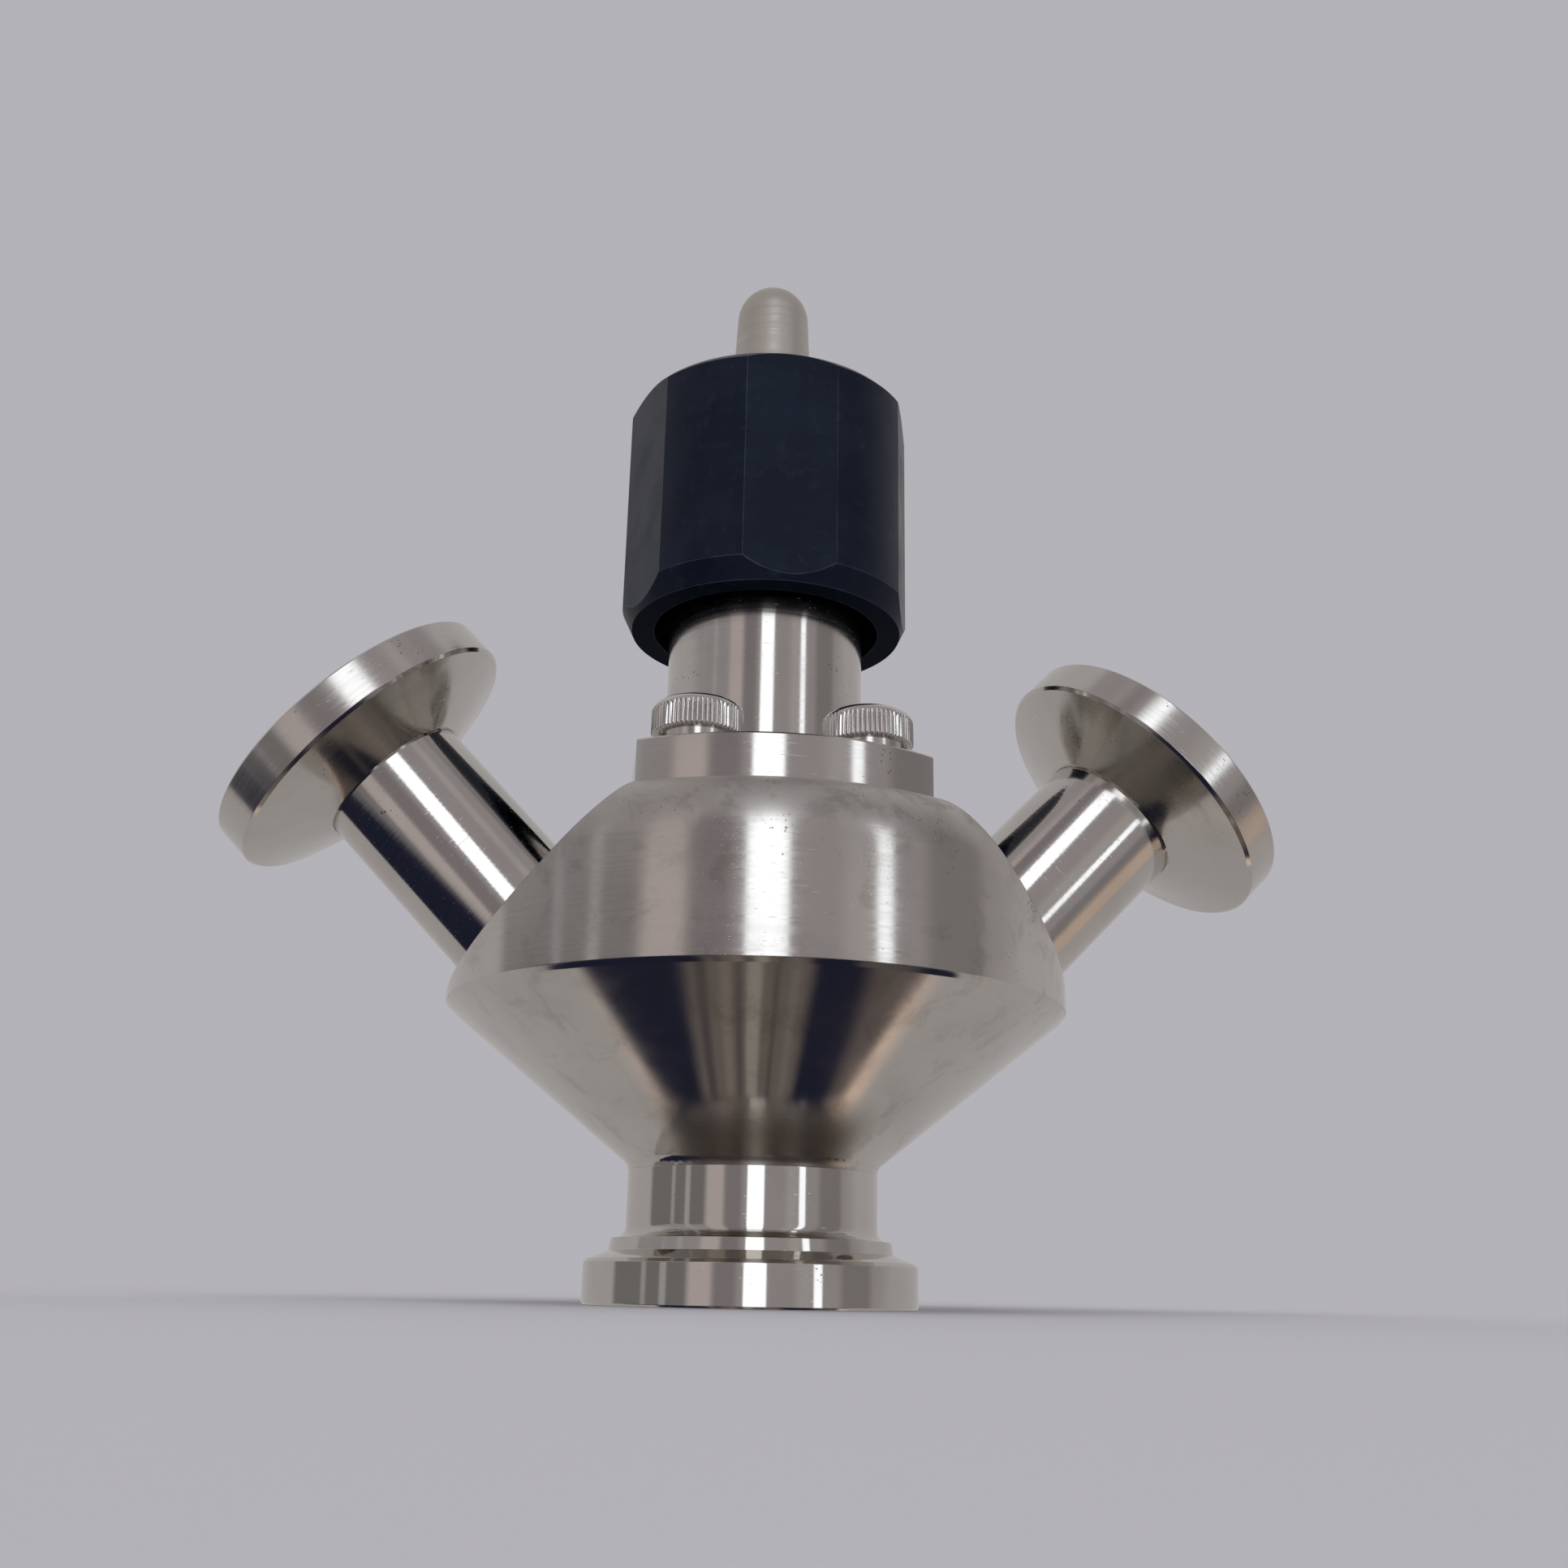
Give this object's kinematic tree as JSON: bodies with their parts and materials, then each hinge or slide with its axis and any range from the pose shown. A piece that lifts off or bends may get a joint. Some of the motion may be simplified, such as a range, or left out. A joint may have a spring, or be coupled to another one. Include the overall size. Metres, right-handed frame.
{
  "type": "diaphragm valve",
  "caption": "Hygienic diaphragm sampling valve: funnel-shaped steel body on a clamp ferrule, two slanted clamp ports and a black turning knob that lifts a membrane off its seat.",
  "frame": {"origin": "centre of the face of the bottom (process) ferrule", "axes": "+Z along the spindle towards the knob, +X towards the right-hand port, -Y towards the front"},
  "size_m": [0.0848, 0.0482, 0.0884],
  "materials": {
    "ferrule_steel": "polished stainless steel",
    "body_steel": "turned stainless steel wall over a polished funnel",
    "tube_steel": "polished stainless steel tube",
    "port_steel": "satin turned stainless steel",
    "bonnet_steel": "turned stainless steel",
    "screw_steel": "bright knurled stainless steel",
    "washer_steel": "bright stainless steel",
    "inner_steel": "machined stainless steel",
    "insert_steel": "machined stainless steel",
    "dome_steel": "satin stainless steel",
    "spring_steel": "phosphated spring steel",
    "bronze": "machined bronze",
    "membrane_rubber": "matte silicone",
    "seal_rubber": "matte black rubber",
    "bush_plastic": "white fluoropolymer",
    "knob_plastic": "satin black machined plastic"
  },
  "bodies": {
    "valve": {"process_ferrule": "ferrule_steel", "valve_body": "body_steel", "left_port_tube": "tube_steel", "right_port_tube": "tube_steel", "left_port_ferrule": "port_steel", "right_port_ferrule": "port_steel", "membrane": "membrane_rubber", "bonnet": "bonnet_steel", "bonnet_screws": "screw_steel", "lock_washers": "washer_steel", "guide_bush": "bush_plastic", "guide_pin": "inner_steel", "stem_nut": "bronze", "circlip": "spring_steel"},
    "pusher_group": {"pusher": "inner_steel", "membrane_stud": "inner_steel", "pusher_o_ring": "seal_rubber", "swivel_pins": "inner_steel", "thrust_washer": "bronze"},
    "knob_group": {"spindle": "inner_steel", "knob": "knob_plastic", "knob_insert": "insert_steel", "knob_washer": "washer_steel", "dome_nut": "dome_steel"}
  },
  "joints": [
    {"name": "membrane_lift", "type": "slide", "parent": "valve", "child": "pusher_group", "axis": [0, 0, 1], "range_m": [0, 0.003], "deforming": ["membrane"]},
    {"name": "knob_turn", "type": "hinge", "parent": "pusher_group", "child": "knob_group", "pos_m": [0, 0, 0.05], "axis": [0, 0, 1], "range_deg": [0, 540]}
  ],
  "couplings": [
    {"joint": "knob_turn", "follows": "membrane_lift", "rad_per_m": 3141.6}
  ]
}
